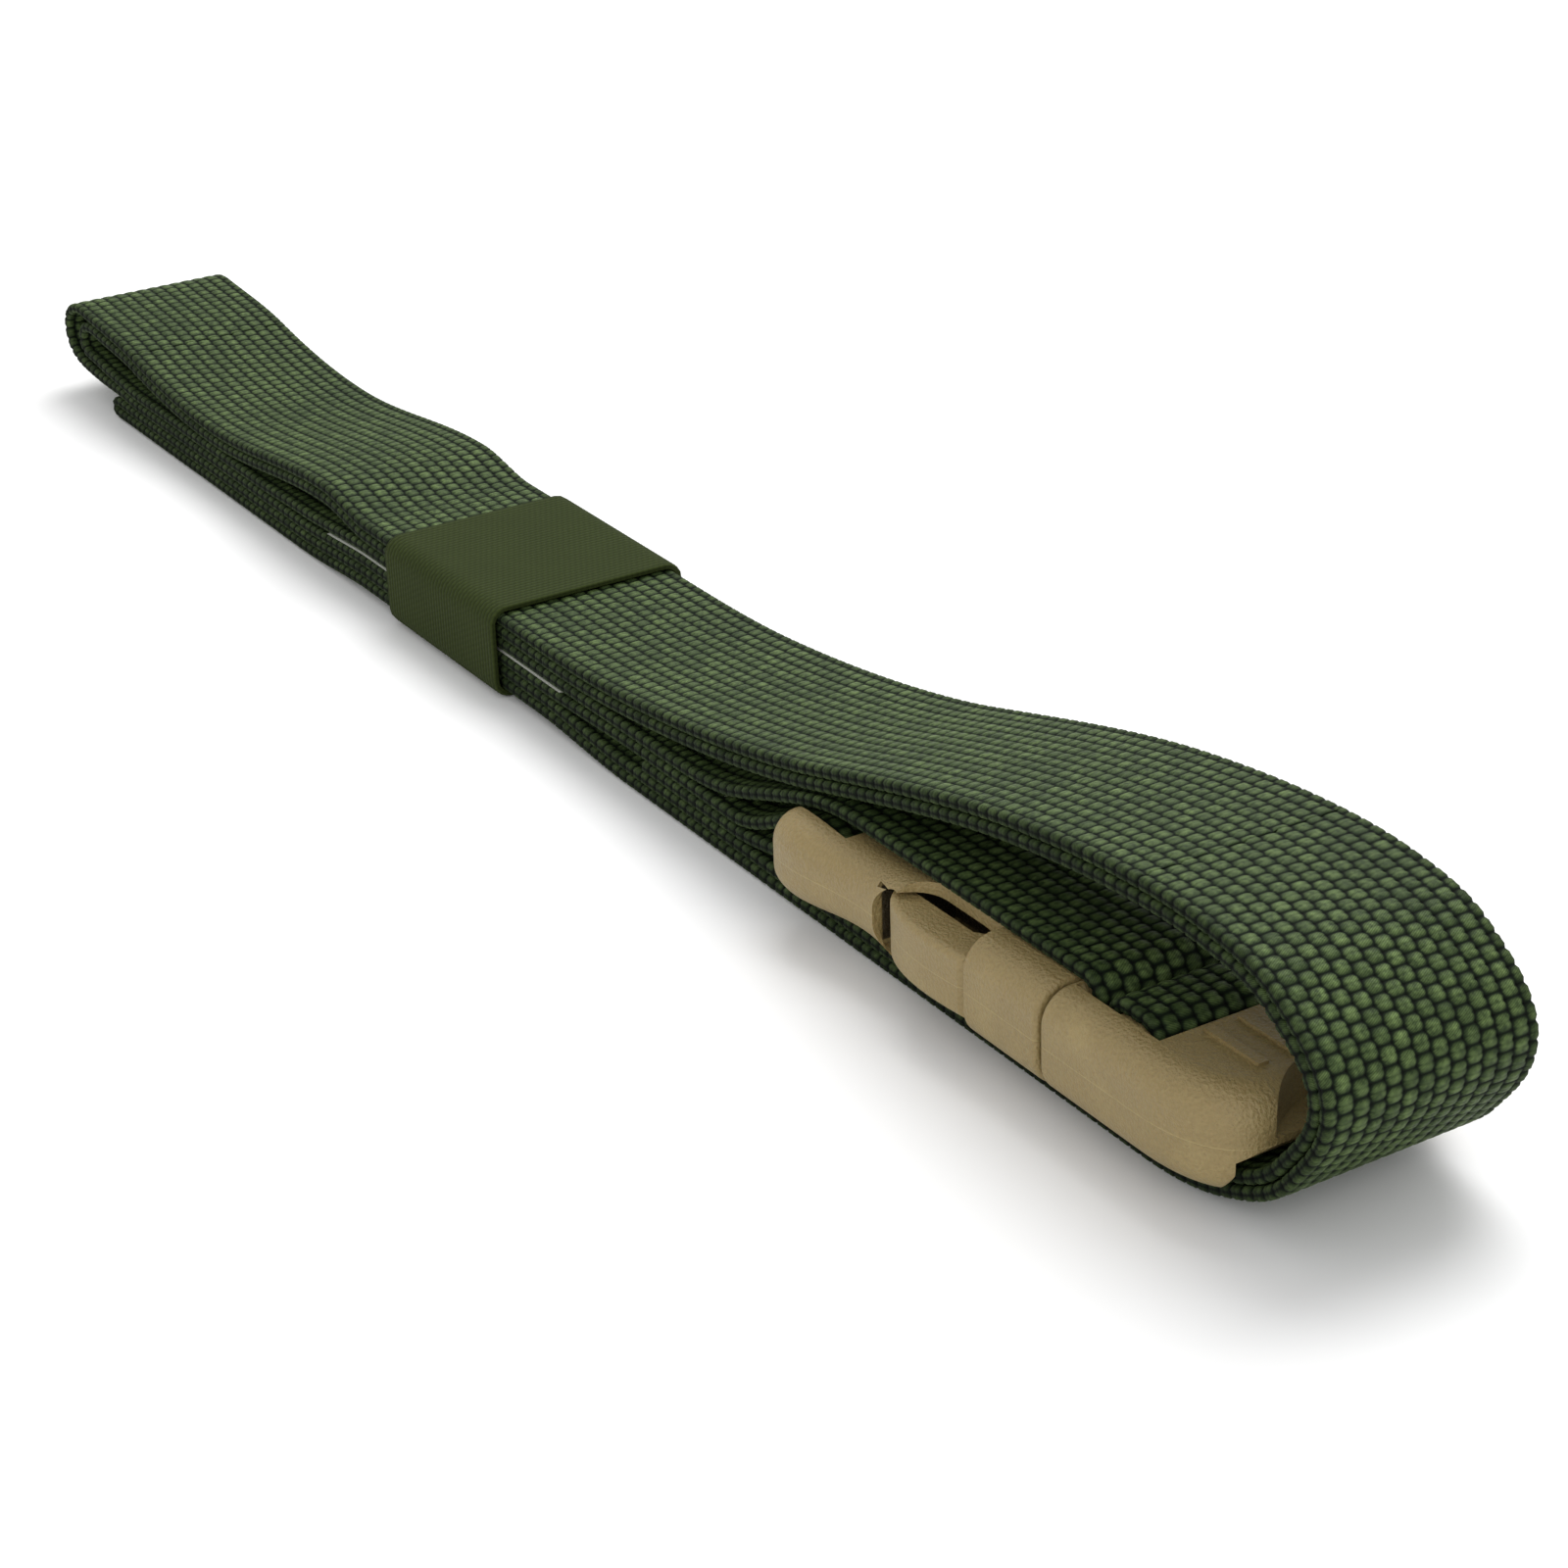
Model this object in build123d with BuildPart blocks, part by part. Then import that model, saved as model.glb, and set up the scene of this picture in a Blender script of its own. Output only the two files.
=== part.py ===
"""Folded webbing tourniquet with a side-release buckle, held by an elastic keeper.

Frame: +X runs along the bundle towards the end that holds the buckle, +Z is up,
the bundle lies on Z = 0 and is centred on the origin. Sizes are in millimetres.
"""
from build123d import *
from math import cos, hypot, radians, sin
import os

# --- driving dimensions -------------------------------------------------------
bundle_length = 304.0      # folded strap, end to end
web_width = 25.4
web_thickness = 1.6
layer_gap = 0.06           # air between two layers that lie on each other

keeper_width = 30.0
keeper_thickness = 0.9
keeper_clearance = 0.12    # keeper to strap, above, below and at the sides
keeper_x = -20.5           # middle of the keeper
keeper_travel = 6.0        # how far the keeper may slide each way

label_length = 66.0
label_thickness = 0.25
label_start = -57.0

buckle_thickness = 11.5
web_clearance = 0.4        # web edge to the inside of a slot
corner_radius = 3.6        # along the outer edges of both halves
rail_width = 3.9           # solid side wall beside a slot
parting_gap = 0.6          # between the closed halves
loop_overhang = 10.0       # from the end of the plug to the outside of the near fold

socket_length = 50.2
socket_bar_radius = 1.8
socket_slot_width = 4.6     # from the bar to the end of the opening
socket_bar_x = 4.2         # bar centre from the socket's webbing end
socket_wall = 2.0          # top, bottom and side walls of the mouth
socket_window_start = 19.5
socket_ring_length = 12.2
waist_half_width = 11.8    # of the plates beside the windows

plug_length = 27.2
plug_front_wall = 2.5
slot_in_width = 3.6        # holds two thicknesses of web
slot_out_width = 2.3       # holds one
adjuster_bar_width = 5.4
adjuster_bar_height = 5.4
guide_half_width = 3.6
guide_length = 22.0

arm_clearance = 0.25       # latch arm to the plates above and below it
arm_hinge_y = 10.8
arm_root_radius = 1.3
head_length = 17.0
head_thickness = 4.2       # from its skin to the hollow behind it
head_to_ring = 0.3         # latch shoulder to the edge it catches on

stitch_radius = 0.3
straight_enough = 1e-6     # bend and offset below which a stretch of web is a line

# --- derived levels and places ------------------------------------------------
pitch = web_thickness + layer_gap
half_web = web_width / 2
near_x = bundle_length / 2
far_x = -bundle_length / 2
lift = keeper_thickness + keeper_clearance
label_room = label_thickness + 2 * layer_gap

slot_half = half_web + web_clearance
buckle_half = slot_half + rail_width
buckle_bottom = 2 * pitch + layer_gap
buckle_top = buckle_bottom + buckle_thickness
buckle_mid = (buckle_bottom + buckle_top) / 2

plug_end = near_x - loop_overhang
plug_front = plug_end - plug_length
socket_end = plug_front - parting_gap
socket_start = socket_end - socket_length
bar_x = socket_start + socket_bar_x
ring_start = socket_end - socket_ring_length
window_start = socket_start + socket_window_start
slot_in_start = plug_front + plug_front_wall
adjuster_start = slot_in_start + slot_in_width
adjuster_end = adjuster_start + adjuster_bar_width
slot_out_end = adjuster_end + slot_out_width
adjuster_top = buckle_top - 0.6
adjuster_bottom = adjuster_top - adjuster_bar_height

keeper_left = keeper_x - keeper_width / 2 - keeper_travel - 2.5
keeper_right = keeper_x + keeper_width / 2 + keeper_travel + 2.5
sewn_start = socket_start - 35.0
sewn_end = socket_start - 15.0


def level(index):
    """Height of the middle of a layer that lies flat in the stack."""
    return web_thickness / 2 + index * pitch


# --- the strap's route --------------------------------------------------------
# A knot is (x, z, heading in degrees). A layer is written in the direction in which
# the strap runs: socket bar, far end, over the top, near end, back along the table
# to the far end, near end again, under the top layer, far end, then to the plug.

def beside(knots, distance):
    """The same route, moved to the right of its own direction."""
    moved = []
    for x, z, heading in knots:
        turn = radians(heading)
        moved.append((x + distance * sin(turn), z - distance * cos(turn), heading))
    return moved


def backwards(knots):
    return [(x, z, heading + 180) for x, z, heading in reversed(knots)]


bar_wrap = socket_bar_radius + layer_gap + web_thickness / 2
bar_loop = [
    (sewn_start, level(2), 0),
    (sewn_end, level(2), 0),
    (bar_x, buckle_mid - bar_wrap, 0),
    (bar_x + bar_wrap, buckle_mid, 90),
    (bar_x, buckle_mid + bar_wrap, 180),
    (sewn_end, level(3), 180),
    (sewn_start, level(3), 180),
]
socket_run = [
    (sewn_start, level(3), 180),
    (keeper_right, level(2) + lift, 180),
    (keeper_left, level(2) + lift, 180),
    (keeper_left - 22, level(2), 180),
    (far_x + 28, level(2), 180),
]
far_fold_outer = [
    (far_x + 28, level(2), 180),
    (far_x + 19, level(2) + 0.5, 180),
    (far_x + 10, level(2) + 0.8, 176),
    (far_x + web_thickness / 2, level(2) + 5.4, 90),
    (far_x + 8, level(5) + 4.9, -5),
    (far_x + 28, level(5) + 2.9, -11),
]
rise_start = socket_start - 41
rise_slope = 0.0355        # steep enough that the run doesn't dip before it climbs
over_plug_run = buckle_top + 2 * pitch - 0.02    # two layers up, over the run on the socket
top_run = [
    (far_x + 28, level(5) + 2.9, -11),
    (far_x + 57, level(5), 0),
    (keeper_left - 13, level(5) + label_room + 2.7, 0),
    (keeper_left, level(5) + label_room + lift, 0),
    (keeper_right, level(5) + label_room + lift, 0),
    (rise_start, level(5) + label_room + lift + rise_slope * (rise_start - keeper_right), 5),
    (socket_start - 10, over_plug_run - 2.7, 11),
    (socket_start + 2, over_plug_run, 15),
    (socket_start + 22, buckle_top + 8.6, 14),
    (socket_start + 39, buckle_top + 12.2, 9),
    (near_x - 28, buckle_top + 14.4, 2),
]
near_fold_outer = [
    (near_x - 28, buckle_top + 14.4, 2),
    (near_x - 18, buckle_top + 14.1, -7),
    (near_x - 8, buckle_top + 11.4, -33),
    (near_x - web_thickness / 2, buckle_mid + 8.4, -90),
    (near_x - 5.6, buckle_mid - 0.9, -127),
    (near_x - 15, level(0) + 1.8, -160),
    (near_x - 27, level(0), -180),
]
bottom_run = [
    (near_x - 27, level(0), 180),
    (keeper_right + 22, level(0), 180),
    (keeper_right, level(0) + lift, 180),
    (keeper_left, level(0) + lift, 180),
    (keeper_left - 22, level(0), 180),
    (far_x + 28, level(0), 180),
]
far_fold_lower = [
    (far_x + 28, level(0), 180),
    (far_x + 19.5, level(0), 180),
    (far_x + 18, (level(0) + level(1)) / 2 + 0.1, 90),
    (far_x + 20, level(1) + 0.2, 0),
    (far_x + 28, level(1), 0),
]
bottom_inner_run = backwards(beside(bottom_run, pitch))
near_fold_inner = backwards(beside(near_fold_outer, pitch))
top_inner_run = backwards(beside(top_run, pitch))
far_fold_inner = [
    top_inner_run[-1],
    (far_x + 14, level(4) + 4.3, 173),
    (far_x + 6.8, level(3) + 3.6, 270),
    (far_x + 13, level(3) + 1.3, 350),
    (far_x + 19, level(3) + 0.62, 356),
    (far_x + 28, level(3), 0),
]
plug_run = [
    (far_x + 28, level(3), 0),
    (keeper_left - 36, level(3), 0),
    (keeper_left - 22, level(3) + label_room, 0),
    (keeper_left, level(3) + label_room + lift, 0),
    (keeper_right, level(3) + label_room + lift, 0),
    (sewn_start + 4, level(4) + 0.05, 0),
    (sewn_end + 2, level(4) + 2.0, 18),
    (socket_start + 3, buckle_top - 0.2, 14),
    (socket_start + 14, buckle_top + layer_gap + web_thickness / 2, 0),
    (socket_end - 2, buckle_top + layer_gap + web_thickness / 2, 0),
]
slot_in_outer = slot_in_start + layer_gap + web_thickness / 2
slot_in_inner = adjuster_start - layer_gap - web_thickness / 2
slot_out_middle = adjuster_end + layer_gap + web_thickness / 2
adjuster_wrap = [
    plug_run[-1],
    (slot_in_outer - 2.6, buckle_top + layer_gap + web_thickness / 2, 0),
    (slot_in_outer, buckle_top - 1.8, -90),
    (slot_in_outer, adjuster_bottom + 1.6, -90),
    (slot_in_outer + 2.4, adjuster_bottom - layer_gap - web_thickness / 2, 0),
    (adjuster_end - 1.2, adjuster_bottom - layer_gap - web_thickness / 2, 0),
    (slot_out_middle, adjuster_bottom + 1.2, 90),
    (slot_out_middle, adjuster_top - 1.2, 90),
    (adjuster_end - 1.2, adjuster_top + layer_gap + web_thickness / 2, 180),
    (adjuster_start + 1.2, adjuster_top + layer_gap + web_thickness / 2, 180),
    (slot_in_inner, adjuster_top - 1.2, 270),
    (slot_in_inner, adjuster_bottom + 1.4, 270),
]


def lay_route(knots):
    """Draws the route as curves that leave and meet every knot along its heading.

    A stretch whose two headings lie along it is a straight line, so its faces are flat.
    """
    edges = []
    for (xa, za, start), (xb, zb, end) in zip(knots, knots[1:]):
        turn = radians((end - start + 180) % 360 - 180)
        chord = hypot(xb - xa, zb - za)
        a, b = radians(start), radians(end)
        sideways = abs((xb - xa) * sin(a) - (zb - za) * cos(a))
        if abs(turn) < straight_enough and sideways < straight_enough:
            edges.append(Line((xa, za), (xb, zb)))
            continue
        reach = chord / (3 * cos(turn / 4) ** 2)
        edge = Bezier(
            (xa, za),
            (xa + reach * cos(a), za + reach * sin(a)),
            (xb - reach * cos(b), zb - reach * sin(b)),
            (xb, zb),
        )
        edges.append(edge)
    return edges


strap_lengths = []


def write(part, name):
    part.part.label = name
    export_step(part.part, f"parts/{name}.step")


def make_strap_piece(name, knots):
    """A length of web: its two faces run half a thickness to each side of the route."""
    with BuildPart() as strip:
        with BuildSketch(Plane.XZ):
            with BuildLine():
                right = lay_route(beside(knots, web_thickness / 2))
                left = lay_route(backwards(beside(knots, -web_thickness / 2)))
                Line(right[0].position_at(0), left[-1].position_at(1))
                Line(right[-1].position_at(1), left[0].position_at(0))
            make_face()
        extrude(amount=half_web, both=True)
    face_lengths = [edge.length for edge in right + left]
    strap_lengths.append(sum(face_lengths) / 2)
    write(strip, name)


def floor_plan(x_start, x_end, y_start, y_end, height):
    """A rectangle in plan at a height, to be extruded upwards."""
    with BuildSketch(Plane.XY.offset(height)) as plan:
        with BuildLine():
            Polyline((x_start, y_start), (x_end, y_start), (x_end, y_end), (x_start, y_end), close=True)
        make_face()
    return plan.sketch


def rounded_sections(sizes):
    """Rounded rectangles across X, each (x, half width, half height, corner radius)."""
    sections = []
    for x, half_width, half_height, corner in sizes:
        with BuildSketch(Plane((x, 0, buckle_mid), x_dir=(0, 1, 0), z_dir=(1, 0, 0))) as section:
            RectangleRounded(2 * half_width, 2 * half_height, corner)
        sections.append(section.sketch)
    return sections


# --- socket half of the buckle --------------------------------------------------
def make_socket():
    full = buckle_thickness / 2
    cavity_half = buckle_half - socket_wall
    with BuildPart() as socket:
        loft(rounded_sections([
            (socket_start, buckle_half - 1.0, full - 1.2, 3.4),
            (socket_start + 6.0, buckle_half, full - 0.9, 3.6),
            (socket_start + 14.0, buckle_half - 1.1, full - 1.3, 3.6),
            (socket_start + 25.0, buckle_half - 0.5, full - 0.3, 3.6),
            (ring_start, buckle_half, full, corner_radius),
        ]))
        with BuildSketch(Plane((socket_start, 0, buckle_mid), x_dir=(0, 1, 0), z_dir=(1, 0, 0))):
            Rectangle(2 * buckle_half, buckle_thickness)
        extrude(amount=socket_length, mode=Mode.INTERSECT)
        with BuildSketch(Plane((ring_start, 0, buckle_mid), x_dir=(0, 1, 0), z_dir=(1, 0, 0))):
            RectangleRounded(2 * buckle_half, buckle_thickness, corner_radius)
        extrude(amount=socket_ring_length)
        fillet(socket.faces().sort_by(Axis.X)[0].edges(), radius=2.4)
        fillet(socket.faces().sort_by(Axis.X)[-1].edges(), radius=0.6)
        # mouth and cavity for the plug's arms and guide
        inside = buckle_thickness / 2 - socket_wall
        cavity = floor_plan(window_start, socket_end + 1, -cavity_half, cavity_half, buckle_mid - inside)
        extrude(cavity, amount=2 * inside, mode=Mode.SUBTRACT)
        for side in (-1, 1):
            # window in the side wall, round at its closed end
            window_middle = (window_start + ring_start) / 2
            with BuildSketch(Plane((window_middle, side * (buckle_half + 1), buckle_mid),
                                   x_dir=(1, 0, 0), z_dir=(0, -side, 0))):
                RectangleRounded(ring_start - window_start, 2 * inside + 0.8, 3.6)
            extrude(amount=buckle_half - waist_half_width + 2, mode=Mode.SUBTRACT)
            # waist of the plates above and below it
            with BuildSketch(Plane.XY):
                with BuildLine():
                    waist = side * waist_half_width
                    outside = side * (buckle_half + 2)
                    start = (window_start + 2.5, outside)
                    shoulder = (window_start + 8.5, waist)
                    Spline([start, shoulder], tangents=[(0.35, -side), (1, 0)])
                    Polyline(shoulder, (ring_start, waist), (ring_start, outside), start)
                make_face()
            extrude(amount=buckle_top + 1, mode=Mode.SUBTRACT)
        # open end for the web, crossed by the bar
        web_end = bar_x + socket_bar_radius + socket_slot_width
        opening = floor_plan(socket_start - 1, web_end, -slot_half, slot_half, 0)
        extrude(opening, amount=buckle_top + 1, mode=Mode.SUBTRACT)
        with BuildSketch(Plane((bar_x, -slot_half - 1, buckle_mid), x_dir=(1, 0, 0), z_dir=(0, 1, 0))):
            Circle(socket_bar_radius)
        extrude(amount=2 * slot_half + 2)
        # rails that steer the guide
        for side in (-1, 1):
            near, far = side * (guide_half_width + 0.4), side * (guide_half_width + 1.6)
            rail = floor_plan(window_start - 0.5, ring_start - 1, near, far, buckle_mid - inside - 0.2)
            extrude(rail, amount=2 * inside + 0.4)
    write(socket, "socket_shell")


# --- plug half of the buckle ----------------------------------------------------
def make_plug():
    full = buckle_thickness / 2
    with BuildPart() as plug:
        with BuildSketch(Plane.XY.offset(buckle_bottom)):
            with BuildLine():
                straight_end = slot_out_end + 1
                for side in (-1, 1):
                    Line((plug_front, side * buckle_half), (straight_end, side * buckle_half))
                    Bezier((straight_end, side * buckle_half), (plug_end - 4, side * buckle_half),
                           (plug_end, side * (buckle_half - 3)), (plug_end, side * (buckle_half - 8)))
                Line((plug_front, -buckle_half), (plug_front, buckle_half))
                Line((plug_end, 8 - buckle_half), (plug_end, buckle_half - 8))
            make_face()
        extrude(amount=buckle_thickness)
        rims = plug.edges().filter_by(lambda edge: edge.bounding_box().size.Z < 1)
        fillet(rims.filter_by(lambda edge: edge.center().X > plug_front + 1), radius=corner_radius)
        fillet(plug.faces().sort_by(Axis.X)[0].edges(), radius=0.6)
        slots = floor_plan(slot_in_start, slot_out_end, -slot_half, slot_half, 0)
        extrude(slots, amount=buckle_top + 1, mode=Mode.SUBTRACT)
        # adjuster bar across the slot
        with BuildSketch(Plane.XZ.offset(-slot_half - 0.5)):
            with Locations(((adjuster_start + adjuster_end) / 2, (adjuster_top + adjuster_bottom) / 2)):
                RectangleRounded(adjuster_bar_width, adjuster_bar_height, 1.2)
        extrude(amount=2 * slot_half + 1)
        # the web's way over the front wall
        with BuildSketch(Plane.XZ.offset(-slot_half)):
            with BuildLine():
                edge = (plug_front + 0.7, buckle_top + 1)
                Polyline(edge, (slot_in_start + 0.1, buckle_top + 1), (slot_in_start + 0.1, buckle_top - 2.4),
                         (plug_front + 0.7, buckle_top - 0.3), edge)
            make_face()
        extrude(amount=2 * slot_half, mode=Mode.SUBTRACT)
        # underside scooped for the near fold, more between the rails than in them
        for half_width, run_in in ((slot_half + 0.3, plug_end - slot_out_end + 1.5), (buckle_half + 1, 5.0)):
            with BuildSketch(Plane.XZ.offset(-half_width)):
                with BuildLine():
                    scoop_start = (plug_end - run_in, buckle_bottom - 0.3)
                    scoop_end = (plug_end + 1, buckle_mid + 1.6)
                    Bezier(scoop_start, (plug_end - 0.45 * run_in, buckle_bottom + 1.3),
                           (plug_end - 1.5, buckle_bottom + 2.6), scoop_end)
                    Polyline(scoop_end, (plug_end + 1, buckle_bottom - 0.3), scoop_start)
                make_face()
            extrude(amount=2 * half_width, mode=Mode.SUBTRACT)
        with BuildSketch(Plane.XY.offset(buckle_mid + 0.8)):
            with Locations((plug_end + 6.6, 0)):
                Ellipse(11.0, buckle_half - 4.6)
        extrude(amount=full + 1, mode=Mode.SUBTRACT)
        # grip ribs along the end
        for rib in range(5):
            middle = (rib - 2) * 4.0
            ridge = floor_plan(slot_out_end + 0.9, plug_end - 4.4, middle - 0.6, middle + 0.6, buckle_top - 1.0)
            extrude(ridge, amount=1.35)
        # guide that centres the plug in the socket
        reach = plug_front - guide_length
        with BuildSketch(Plane.XY.offset(buckle_mid - 2.4)):
            with BuildLine():
                Polyline((plug_front + 1, -guide_half_width), (plug_front + 1, guide_half_width),
                         (reach + 4, guide_half_width), (reach, guide_half_width - 1.6),
                         (reach, 1.6 - guide_half_width), (reach + 4, -guide_half_width), close=True)
            make_face()
        extrude(amount=4.8)
    write(plug, "plug_frame")


def make_arm(name, side):
    """A latch arm: root, springy blade and the head that shows in the window."""
    inside = buckle_thickness / 2 - socket_wall
    bottom = buckle_mid - inside + arm_clearance
    height = 2 * (inside - arm_clearance)
    root_x = plug_front - arm_root_radius - 0.06
    shoulder = ring_start - head_to_ring
    tip = shoulder - head_length
    skin = buckle_half
    with BuildPart() as arm:
        with BuildSketch(Plane.XY.offset(bottom)):
            with BuildLine():
                head_back = (shoulder, side * (skin - 0.5))
                head_out = (shoulder - 0.8, side * skin)
                nose = (tip, side * (skin - 3.4))
                hollow = side * (skin - head_thickness)
                heel = (tip + 1.2, hollow)
                Polyline((root_x, side * (arm_hinge_y + arm_root_radius)),
                         (shoulder + 2.0, side * (arm_hinge_y + 1.5)),
                         (shoulder, side * (arm_hinge_y + 2.2)), head_back, head_out)
                Spline([head_out, nose], tangents=[(-1, side * 0.12), (-0.6, -side)])
                Polyline(nose, heel, (shoulder - 4.0, hollow), (shoulder - 0.5, side * (arm_hinge_y - 0.6)),
                         (root_x, side * (arm_hinge_y - arm_root_radius)),
                         (root_x, side * (arm_hinge_y + arm_root_radius)))
            make_face()
            with Locations((root_x, side * arm_hinge_y)):
                Circle(arm_root_radius)
        extrude(amount=height)
        outer = arm.edges().filter_by(GeomType.BSPLINE)
        fillet(outer, radius=0.8)
    write(arm, name)


# --- keeper, label and stitching ------------------------------------------------
def make_keeper():
    """Elastic loop round the stack, lapped and sewn on its far side."""
    half_hole = half_web + 2 * keeper_clearance
    hole_bottom = keeper_thickness
    hole_top = level(5) + label_room + lift + web_thickness / 2 + keeper_clearance
    hole_mid = (hole_bottom + hole_top) / 2
    hole_height = hole_top - hole_bottom
    start = keeper_x - keeper_width / 2
    with BuildPart() as keeper:
        with BuildSketch(Plane((start, 0, hole_mid), x_dir=(0, 1, 0), z_dir=(1, 0, 0))):
            RectangleRounded(2 * (half_hole + keeper_thickness), hole_height + 2 * keeper_thickness, 1.2)
            RectangleRounded(2 * half_hole, hole_height, 0.35, mode=Mode.SUBTRACT)
        extrude(amount=keeper_width)
        lap_y = half_hole + keeper_thickness
        lap = hole_height / 2 - 1.2
        flap = floor_plan(start, start + keeper_width, lap_y - 0.1, lap_y + keeper_thickness, hole_mid - lap)
        extrude(flap, amount=2 * lap)
    write(keeper, "keeper_band")
    with BuildPart() as stitches:
        with BuildSketch(Plane.XZ.offset(-half_hole - 0.15)):
            for row in (-1, 1):
                for column in range(12):
                    along = start + 2.0 + column * (keeper_width - 4.0) / 11
                    with Locations((along, hole_mid + row * (lap - 1.4))):
                        Circle(stitch_radius)
        extrude(amount=-(2 * keeper_thickness + 0.25))
    write(stitches, "keeper_stitching")


def make_label():
    """A strip that lies on the socket's run, its length set by a cut in plan."""
    route = backwards(socket_run[:4])
    above = web_thickness / 2 + layer_gap + label_thickness / 2
    with BuildPart() as label:
        with BuildSketch(Plane.XZ):
            with BuildLine():
                under = lay_route(beside(route, label_thickness / 2 - above))
                over = lay_route(backwards(beside(route, -label_thickness / 2 - above)))
                Line(under[0].position_at(0), over[-1].position_at(1))
                Line(under[-1].position_at(1), over[0].position_at(0))
            make_face()
        extrude(amount=half_web - 0.3, both=True)
        extent = floor_plan(label_start, label_start + label_length, -half_web, half_web, 0)
        extrude(extent, amount=buckle_top, mode=Mode.INTERSECT)
    write(label, "care_label")


def make_loop_stitching():
    """Rows of thread that go through both legs of the loop on the socket's bar."""
    bottom = level(2) - web_thickness / 2 - layer_gap / 2
    top = level(3) + web_thickness / 2 + layer_gap / 2
    with BuildPart() as thread:
        with BuildSketch(Plane.XY.offset(bottom)):
            for row in range(4):
                along = sewn_start + 3.0 + row * (sewn_end - sewn_start - 6.0) / 3
                for column in range(9):
                    with Locations((along, (column - 4) * (web_width - 5.0) / 8)):
                        Circle(stitch_radius)
        extrude(amount=top - bottom)
    write(thread, "loop_stitching")


os.makedirs("parts", exist_ok=True)

make_strap_piece("strap_bar_loop", bar_loop)
make_strap_piece("strap_socket_run", socket_run)
make_strap_piece("strap_far_fold_outer", far_fold_outer)
make_strap_piece("strap_top_run", top_run)
make_strap_piece("strap_near_fold_outer", near_fold_outer)
make_strap_piece("strap_bottom_run", bottom_run)
make_strap_piece("strap_far_fold_lower", far_fold_lower)
make_strap_piece("strap_bottom_inner_run", bottom_inner_run)
make_strap_piece("strap_near_fold_inner", near_fold_inner)
make_strap_piece("strap_top_inner_run", top_inner_run)
make_strap_piece("strap_far_fold_inner", far_fold_inner)
make_strap_piece("strap_plug_run", plug_run)
make_strap_piece("strap_adjuster_wrap", adjuster_wrap)
print("strap length", round(sum(strap_lengths), 1))

make_socket()
make_plug()
make_arm("left_latch_arm", 1)
make_arm("right_latch_arm", -1)
make_keeper()
make_label()
make_loop_stitching()
print("arm hinge", round(plug_front - arm_root_radius - 0.06, 3), arm_hinge_y, "buckle", round(buckle_bottom, 2),
      round(buckle_top, 2), "keeper", keeper_x)
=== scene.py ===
import math
import bpy
from mathutils import Matrix, Vector


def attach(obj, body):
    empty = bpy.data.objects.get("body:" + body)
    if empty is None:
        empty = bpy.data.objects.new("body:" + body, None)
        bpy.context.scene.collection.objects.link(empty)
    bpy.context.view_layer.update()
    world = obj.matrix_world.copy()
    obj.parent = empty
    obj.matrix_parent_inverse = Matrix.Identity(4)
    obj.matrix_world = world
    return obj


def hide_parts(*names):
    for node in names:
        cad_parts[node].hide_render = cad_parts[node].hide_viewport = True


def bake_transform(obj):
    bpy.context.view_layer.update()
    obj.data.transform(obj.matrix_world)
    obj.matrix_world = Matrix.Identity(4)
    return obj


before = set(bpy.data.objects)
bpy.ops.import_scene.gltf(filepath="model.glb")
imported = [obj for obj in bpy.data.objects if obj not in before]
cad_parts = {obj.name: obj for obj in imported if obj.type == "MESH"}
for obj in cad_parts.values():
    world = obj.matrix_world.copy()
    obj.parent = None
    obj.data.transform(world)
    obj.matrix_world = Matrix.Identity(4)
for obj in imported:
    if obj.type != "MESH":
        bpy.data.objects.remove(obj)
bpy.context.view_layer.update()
scene = bpy.context.scene
mm = 0.001
print("frame loaded")


# node trees

class Value:  # one socket's value, which can be used in ordinary sums

    def __init__(self, board, socket):
        self.board = board
        self.socket = socket

    def maths(self, operation, *others):
        node = self.board.tree.nodes.new("ShaderNodeMath")
        node.operation = operation
        for place, value in enumerate((self,) + others):
            self.board.feed(node.inputs[place], value)
        return Value(self.board, node.outputs[0])

    def flipped(self, operation, other):
        node = self.board.tree.nodes.new("ShaderNodeMath")
        node.operation = operation
        self.board.feed(node.inputs[0], other)
        self.board.feed(node.inputs[1], self)
        return Value(self.board, node.outputs[0])

    def __add__(self, other): return self.maths("ADD", other)
    def __radd__(self, other): return self.maths("ADD", other)
    def __sub__(self, other): return self.maths("SUBTRACT", other)
    def __rsub__(self, other): return self.flipped("SUBTRACT", other)
    def __mul__(self, other): return self.maths("MULTIPLY", other)
    def __rmul__(self, other): return self.maths("MULTIPLY", other)
    def __truediv__(self, other): return self.maths("DIVIDE", other)
    def __pow__(self, other): return self.maths("POWER", other)
    def __mod__(self, other): return self.maths("FLOORED_MODULO", other)
    def __abs__(self): return self.maths("ABSOLUTE")


class Board:  # a node tree being wired up

    def __init__(self, tree):
        self.tree = tree

    def feed(self, socket, value):
        if isinstance(value, Value):
            self.tree.links.new(value.socket, socket)
        elif isinstance(value, bpy.types.NodeSocket):
            self.tree.links.new(value, socket)
        else:
            socket.default_value = value

    def add(self, kind, settings=None, inputs=None):
        node = self.tree.nodes.new(kind)
        for name, setting in (settings or {}).items():
            setattr(node, name, setting)
        for name, value in (inputs or {}).items():
            self.feed(node.inputs[name], value)
        return node

    def value(self, socket):
        return Value(self, socket)

    def mixColour(self, factor, first, second):
        node = self.add("ShaderNodeMix", {"data_type": "RGBA"})
        colours = [s for s in node.inputs if s.type == "RGBA"]
        self.feed(node.inputs[0], factor)
        self.feed(colours[0], first)
        self.feed(colours[1], second)
        return [s for s in node.outputs if s.type == "RGBA"][0]


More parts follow.
